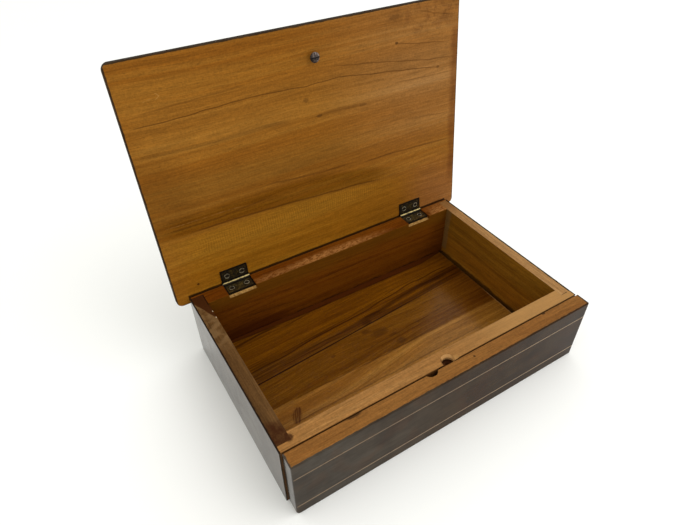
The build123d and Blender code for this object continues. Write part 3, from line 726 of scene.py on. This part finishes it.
def lid_wood():
    """Lid: warm underside with drawn grain, dark polish on the upper side and the edges."""
    s = Shader("lid_wood")
    along, up, out = lid_place(s)
    figure = wood_figure(s, along, up, out, 9.0, warp=1.3)
    colour = wood_colour(s, figure, LID_TONES, 0.2, 0.24)
    # Broad changes of colour over the board, each a tint that leaves the grain in
    uneven = s.streak(along, up, 0.0, 70, 3.0, 44.0, detail=3)
    rosy = s.mul(s.step(s.add(along, s.mul(up, 0.2)), 6, 74), s.step(up, 30, 52))
    bright = s.band(along, up, ((-90, 64), (90, 62)), ((-90, 83), (90, 82)), 5.0, 22)
    middle = s.band(along, up, ((-90, 39), (34, 40)), ((-90, 55), (34, 53)), 6.0, 30)
    olive = s.band(along, up, ((-90, 29.8), (-40, 29.4), (0, 27.0), (24, 25.2), (48, 24.0)),
                   ((-90, 38.0), (-40, 38.5), (0, 37.0), (24, 33.0), (48, 27.0)), 1.8, 26)
    olive = s.mul(olive, s.step(uneven, 0.3, 0.6, 0.7, 1.1))
    golden = s.band(along, up, ((-90, -4), (60, -4)),
                    ((-90, 28.6), (-20, 28.2), (60, 22.0)), 1.5, 30)
    low = s.band(along, up, ((-90, -4), (36, -4)), ((-90, 16), (36, 14)), 5.0, 30)
    corner = s.mul(s.step(along, 40, 62), s.fall(up, 4, 34))
    left_side = s.mul(s.fall(along, -72, -52), s.ends(up, 26, 74, 16))
    top = s.step(s.sub(up, s.mul(along, 0.05)), 82, 98)
    strip = s.mul(s.step(s.add(along, s.sway(7, 1.0)), 73.0, 76.0), s.ends(up, 6, 96, 14))
    for place, tone in (
        (rosy, (1.09, 1.22, 2.6)),
        (bright, (1.16, 1.3, 1.75)),
        (middle, (0.8, 0.81, 0.85)),
        (olive, (0.63, 0.59, 0.26)),
        (golden, (1.0, 1.04, 0.72)),
        (low, (1.1, 1.12, 1.0)),
        (corner, (1.08, 1.14, 2.7)),
        (left_side, (0.8, 0.78, 0.74)),
        (top, (0.93, 0.92, 0.93)),
        (strip, (0.7, 0.62, 0.6)),
    ):
        colour = s.tint(place, colour, tone)
    smudge = s.mul(
        s.step(s.add(along, s.sway(12, 6.0)), 30, 60), s.step(s.add(up, s.sway(12, 3.0)), 84, 94)
    )
    cloud = s.step(s.noise(s.place, detail=4, roughness=0.65, scale=0.22), 0.45, 0.62)
    colour = s.tint(s.mul(smudge, cloud), colour, (0.72, 0.68, 0.7))
    colour = s.mix(grain_lines(s, along, up, LID_LINES, 0.3), colour, srgb(66, 34, 6))
    # Fine ripple of the plane across the grain, low down
    turns = s.mul(along, 2 * math.pi / RIPPLE_LENGTH)
    ripple = s.math("SINE", s.add(turns, s.mul(s.streak(along, up, 0.0, 8, 5, 40.0), 9)))
    place = s.mul(s.ends(along, -70, 42, 14), s.ends(up, 16.5, 28.0, 4))
    colour = s.shade(colour, s.add(1.0, s.mul(ripple, place, 0.1)))
    # Painted shade along the back wall, where the lid's underside meets its top
    joint = s.step(s.add(up, s.sway(5.0, 0.15)), 0.7, 1.0, 0.85, 0.0)
    colour = s.mix(s.mul(joint, s.ends(along, -73.3, 73.1, 0.4)), colour, DIRT_STAIN_AND_SHADE)
    specks = 0.0
    for index, (centre, radii, strength, wobble) in enumerate(LID_SPECKS):
        speck = s.spot(along, up, centre, radii, wobble, seed=3.0 + index)
        specks = s.most(specks, s.mul(speck, strength))
    colour = s.mix(s.mul(specks, 0.85), colour, srgb(50, 26, 8))
    scratch = s.most(
        s.line(up, along, ((86.0, -64.6), (87.4, -62.4), (88.8, -63.8)), 0.3, 0.2, 0.5),
        s.line(along, up, ((-69.0, 86.2), (-65.0, 86.9)), 0.3, 0.2, 0.8),
        s.mul(s.line(along, up, ((52, 24.0), (66, 23.2), (78, 22.4)), 0.3, 0.2, 6), 0.7),
        s.mul(s.line(along, up, ((-76, 35.2), (-50, 35.0), (-38, 34.6)), 0.3, 0.3, 6), 0.5),
    )
    broken = s.step(s.sway(2.0, 0.5), -0.4, 0.4)
    colour = s.mix(s.mul(scratch, broken, 0.45), colour, srgb(178, 132, 72))
    # Dark polish on the top and edges
    rim = s.least(
        s.add(along, LID_HALF),
        s.sub(LID_HALF, along),
        s.sub(LID_FRONT_EDGE, up),
        s.sub(up, LID_REAR_EDGE),
    )
    behind = s.fall(out, LID_INNER - 0.45, LID_INNER - 0.3)
    outside = s.most(behind, s.fall(s.add(rim, s.sway(2.5, 0.14)), 0.42, 0.6))
    colour = s.mix(outside, colour, polish_colour(s, along, up, out, 11.0))
    board_bump(s, figure, outside)
    # Clear coat on the upper side alone. The edges are dull, and darkest at front and rear
    away = s.sub(s.mul(s.ny, math.cos(LID_LEAN)), s.mul(s.nz, math.sin(LID_LEAN)))
    coat = s.mul(outside, s.step(away, 0.7, 0.95, 0.0, 0.5))
    edge = s.fall(s.magnitude(away), 0.3, 0.8)
    colour = s.mix(s.mul(edge, facing_ends(s, 0.6, 0.15)), colour, DIRT_STAIN_AND_SHADE)
    roughness = s.add(polish_roughness(s, outside, figure), s.mul(edge, 0.5))
    return s.finish(colour, roughness, specular=WOOD_SPECULAR, coat=coat)


use(lid_wood(), "lid_board")


def plain_wood(name, tones, seed):
    """Small piece of bare wood."""
    s = Shader(name)
    figure = wood_figure(s, s.x, s.z, s.y, seed, warp=1.0)
    _, fibre, _ = figure
    s.bump(wood_height(s, figure), 0.04)
    colour = wood_colour(s, figure, tones)
    return s.finish(colour, s.step(fibre, 0.2, 0.8, 0.3, 0.45), specular=0.1)


STRINGING_TONES = (srgb(104, 84, 62), srgb(128, 106, 82), srgb(146, 125, 100))
use(plain_wood("stringing_wood", STRINGING_TONES, 12.0), "upper_stringing", "lower_stringing")
use(plain_wood("key_wood", LEFT_TONES, 13.0), "slide_key", "slide_stop_pin")


# ---------------------------------------------------------------- metal

HINGE_LEFT, HINGE_RIGHT = -50.6, 48.9    # middles of the hinges along X
HINGE_HALF = 6.5                    # half a hinge's width
LEAF_REACH = 7.0                    # from the axis to a leaf's far edge
SCREW_SIDE, SCREW_REACH = 3.65, 3.8  # from a hinge's middle and from the axis
BARREL_RADIUS = 1.15

BODY_LEAF_TONES = (srgb(38, 30, 16), srgb(70, 56, 26), srgb(116, 98, 50))
LID_LEAF_TONES = (srgb(24, 17, 10), srgb(46, 35, 15), srgb(92, 76, 34))
SCREW_TONES = (srgb(28, 22, 16), srgb(52, 44, 32), srgb(92, 82, 62))
STEEL_TONES = (srgb(44, 36, 34), srgb(84, 72, 68), srgb(140, 126, 120))
HIGHLIGHT_BRASS = srgb(188, 168, 112)        # painted highlight on the hinge barrels, as bright brass


def patina(s, seed, scale=0.55):
    """Tarnish from 0 to 1. Also sets the bump."""
    place = s.vector(s.add(s.x, seed * 17), s.y, s.z)
    cloud = s.noise(place, detail=5, roughness=0.65, scale=scale)
    patch = s.noise(place, detail=3, scale=1.7)
    grain = s.noise(place, detail=4, roughness=0.7, scale=6.0)
    s.bump(s.add(s.mul(grain, 0.5), s.mul(cloud, 0.5)), 0.06)
    return s.step(s.add(s.mul(cloud, 0.65), s.mul(patch, 0.35)), 0.36, 0.66)


def pin_metal():
    """Hinge pins: steel with a dark patina and rubbed patches."""
    s = Shader("hinge_pin_steel")
    tone = patina(s, 3.0)
    return s.finish(s.ramp(tone, STEEL_TONES), s.step(tone, 0, 1, 0.6, 0.32), metallic=0.8)


def hinge_place(s, on_lid):
    """Hinge coordinates: sideways from the hinge's middle, and out from the axis along the leaf."""
    middle = s.step(s.x, -1, 1, HINGE_LEFT, HINGE_RIGHT)
    reach = lid_place(s)[1] if on_lid else s.sub(AXIS_Y, s.y)
    return s.sub(s.x, middle), reach


def screw_distance(s, side, reach):
    """Distance from the middle of the leaf's nearer screw."""
    return s.length(s.sub(s.magnitude(side), SCREW_SIDE), s.sub(reach, SCREW_REACH))


def leaf_metal(name, on_lid, tones, seed):
    """Hinge leaf: blackened towards its edges; the barrel dark, with a painted highlight along its
    top.
    """
    s = Shader(name)
    tone = patina(s, seed)
    side, reach = hinge_place(s, on_lid)
    colour = s.ramp(tone, tones)
    border = s.least(s.sub(HINGE_HALF, s.magnitude(side)), s.sub(LEAF_REACH, reach))
    black = s.step(s.add(border, s.sway(1.5, 0.15)), 0.35, 0.9, 0.9, 0.0)
    around = s.sub(screw_distance(s, side, reach), 1.6)
    around = s.step(s.magnitude(around), 0.1, 0.35, 0.6, 0.0)
    crease = s.step(s.magnitude(s.sub(reach, BARREL_RADIUS + 0.25)), 0.15, 0.4, 0.9, 0.0)
    colour = s.mix(s.most(black, around, crease), colour, srgb(12, 8, 6))
    from_axis = s.length(s.sub(s.y, AXIS_Y), s.sub(s.z, AXIS_Z))
    barrel = s.fall(from_axis, BARREL_RADIUS + 0.05, BARREL_RADIUS + 0.15)
    # Painted highlight along the top of the barrel, where its surface faces up and forward.
    upward = s.add(s.mul(s.nz, 0.86), s.mul(s.ny, -0.5))
    highlight_mask = s.step(s.add(upward, s.sway(2.0, 0.03)), 0.955, 0.99)
    colour = s.mix(s.mul(barrel, s.step(highlight_mask, 0, 1, 0.8, 0.0)), colour, srgb(20, 14, 9))
    broken = s.step(s.noise(s.place, detail=2, scale=0.7), 0.3, 0.5, 0.45, 0.9)
    colour = s.mix(s.mul(barrel, highlight_mask, broken), colour, HIGHLIGHT_BRASS)
    return s.finish(colour, s.step(tone, 0, 1, 0.6, 0.36), metallic=0.75)


def hinge_screw_metal(name, on_lid, seed):
    """Countersunk screws: dark heads with a rubbed rim."""
    s = Shader(name)
    tone = patina(s, seed)
    side, reach = hinge_place(s, on_lid)
    distance = s.add(screw_distance(s, side, reach), s.sway(1.6, 0.12))
    rim = s.fall(s.magnitude(s.sub(distance, 1.1)), 0.12, 0.3)
    marked_area = s.step(s.noise(s.place, detail=2, scale=0.8), 0.35, 0.6, 0.25, 1.0)
    slot = s.step(s.magnitude(s.sub(reach, SCREW_REACH)), 0.18, 0.24, 0.85, 0.0)
    colour = s.mix(s.mul(rim, marked_area, 0.85), s.ramp(tone, SCREW_TONES), srgb(176, 166, 140))
    colour = s.mix(slot, colour, srgb(10, 8, 6))
    return s.finish(colour, s.step(tone, 0, 1, 0.55, 0.34), metallic=0.75)


def catch_metal():
    """Catch screw: grey steel, dark in the slot, with painted shade on its left side."""
    s = Shader("catch_steel")
    tone = patina(s, 4.0, 0.9)
    along, up, _ = lid_place(s)
    slot = s.step(s.magnitude(s.sub(up, CATCH_REACH)), 0.27, 0.33, 0.95, 0.0)
    # Painted shade on the left side of the head.
    side = s.step(s.sub(along, CATCH_X), -1.6, -0.7, 0.75, 0.0)
    colour = s.mix(s.most(slot, side), s.ramp(tone, STEEL_TONES), srgb(14, 10, 10))
    return s.finish(colour, s.step(tone, 0, 1, 0.6, 0.38), metallic=0.7)


def use_on_hinges(material, piece):
    use(material, f"left_hinge_{piece}", f"right_hinge_{piece}")


use_on_hinges(leaf_metal("body_leaf_brass", False, BODY_LEAF_TONES, 1.0), "body_leaf")
use_on_hinges(leaf_metal("lid_leaf_brass", True, LID_LEAF_TONES, 1.5), "lid_leaf")
use_on_hinges(hinge_screw_metal("body_screw_brass", False, 2.0), "body_screws")
use_on_hinges(hinge_screw_metal("lid_screw_brass", True, 2.5), "lid_screws")
use_on_hinges(pin_metal(), "pin")
use(catch_metal(), "catch_screw")


# ---------------------------------------------------------------- floor, light and camera

FLOOR_SIZE = 6.0                    # metres, as are the places and sizes below
PAPER_TONES = ((0.91, 0.91, 0.91), (0.93, 0.93, 0.93))
SKY_COLOUR, SKY_STRENGTH = (1.0, 1.0, 0.945, 1.0), 1.05
KEY_PLACE, KEY_AIM = (0.45, -0.35, 0.85), (0.0, 0.0, 0.02)
KEY_SIZE, KEY_WATTS = 0.9, 3.5

# Camera solved from the photograph's corners of the box and outline of the coin
CAMERA_PLACE = (-0.103783, -0.139875, 0.201039)
CAMERA_TURN = (48.78358, 0.45685, -31.73766)     # degrees
CAMERA_LENS, CAMERA_SENSOR = 27.9138, 36.0       # millimetres
CAMERA_SHIFT = (0.00594, 0.01039)                # share of the frame's longer side
CAMERA_CLIP = (0.01, 20.0)


def stage_floor():
    """Plain pale paper that the box stands on."""
    bpy.ops.mesh.primitive_plane_add(size=FLOOR_SIZE, location=(0, 0, 0))
    floor = bpy.context.object
    floor.name = "stage_floor"
    s = Shader("stage_paper")
    tone = s.noise(s.vector(s.mul(s.x, 0.01), s.mul(s.y, 0.01), 0.0), detail=2)
    colour = s.mix(tone, *PAPER_TONES)
    floor.data.materials.append(s.finish(colour, 0.9, specular=0.1))


def area_light(name, place, aim, size, watts):
    data = bpy.data.lights.new(name, "AREA")
    data.shape = "SQUARE"
    data.size = size
    data.energy = watts
    lamp = bpy.data.objects.new(name, data)
    bpy.context.scene.collection.objects.link(lamp)
    lamp.location = place
    lamp.rotation_euler = (Vector(aim) - Vector(place)).to_track_quat("-Z", "Y").to_euler()


stage_floor()
world = bpy.data.worlds.new("studio")
bpy.context.scene.world = world
world.use_nodes = True
sky = world.node_tree.nodes["Background"]
sky.inputs["Color"].default_value = SKY_COLOUR
sky.inputs["Strength"].default_value = SKY_STRENGTH
area_light("key", KEY_PLACE, KEY_AIM, KEY_SIZE, KEY_WATTS)

camera_data = bpy.data.cameras.new("camera")
camera_data.sensor_width = CAMERA_SENSOR
camera_data.lens = CAMERA_LENS
camera_data.shift_x, camera_data.shift_y = CAMERA_SHIFT
camera_data.clip_start, camera_data.clip_end = CAMERA_CLIP
camera = bpy.data.objects.new("camera", camera_data)
bpy.context.scene.collection.objects.link(camera)
camera.location = CAMERA_PLACE
camera.rotation_euler = Euler([math.radians(angle) for angle in CAMERA_TURN], "XYZ")
bpy.context.scene.camera = camera
bpy.context.scene.view_settings.view_transform = "Standard"
